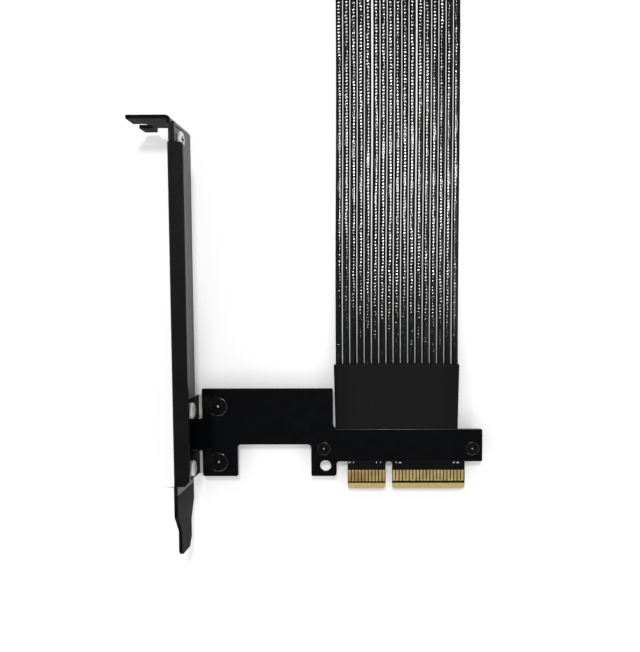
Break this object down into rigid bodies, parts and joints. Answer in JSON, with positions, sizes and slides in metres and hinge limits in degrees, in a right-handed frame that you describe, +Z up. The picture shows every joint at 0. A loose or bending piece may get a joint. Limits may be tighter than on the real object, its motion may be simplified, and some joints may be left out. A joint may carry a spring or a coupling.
{
  "type": "slot extension cable",
  "caption": "Flat-strip extension cable for an expansion slot: folded metal bracket with plate and card edge at one end, a small board with an upright slot at the other",
  "frame": {"origin": "centre of the bracket end's outline, on the surface it lies on", "axes": "+X from the bracket towards the card edge, +Y along the bracket and the cable towards the far slot, +Z up"},
  "size_m": [0.0966, 0.2817, 0.0184],
  "materials": {
    "black_paint": "satin black paint on folded steel sheet",
    "black_plate": "smooth satin black paint on flat steel sheet",
    "bright_plating": "bright plated steel strip",
    "bright_screw": "bright plated screw steel",
    "black_screw": "blackened screw steel",
    "plain_nut": "plain plated nut",
    "board_mask": "black solder mask on glass-fibre board",
    "gold_contact": "gold-plated copper",
    "cloth_wrap": "matt black cloth tape sleeve",
    "strip_jacket": "black spirally wrapped film jacket",
    "slot_plastic": "moulded black plastic"
  },
  "bodies": {
    "root": {"slot_bracket": "black_paint", "mounting_plate": "black_plate", "upper_corner_clip": "bright_plating", "lower_corner_clip": "bright_plating", "clip_to_bracket_screws": "bright_screw", "bracket_top_screw": "bright_screw", "clip_to_plate_screws": "black_screw", "board_screws": "black_screw", "board_nuts": "plain_nut", "edge_board": "board_mask", "far_board": "board_mask", "edge_contacts_front": "gold_contact", "edge_contacts_back": "gold_contact", "slot_contacts_near_row": "gold_contact", "slot_contacts_far_row": "gold_contact", "cable_boot": "cloth_wrap", "far_boot": "cloth_wrap", "slot_housing": "slot_plastic", "cable_strip_01": "strip_jacket", "cable_strip_02": "strip_jacket", "cable_strip_03": "strip_jacket", "cable_strip_04": "strip_jacket", "cable_strip_05": "strip_jacket", "cable_strip_06": "strip_jacket", "cable_strip_07": "strip_jacket", "cable_strip_08": "strip_jacket", "cable_strip_09": "strip_jacket", "cable_strip_10": "strip_jacket", "cable_strip_11": "strip_jacket", "cable_strip_12": "strip_jacket", "cable_strip_13": "strip_jacket", "cable_strip_14": "strip_jacket", "cable_strip_15": "strip_jacket", "cable_strip_16": "strip_jacket", "cable_strip_17": "strip_jacket"}
  },
  "joints": []
}
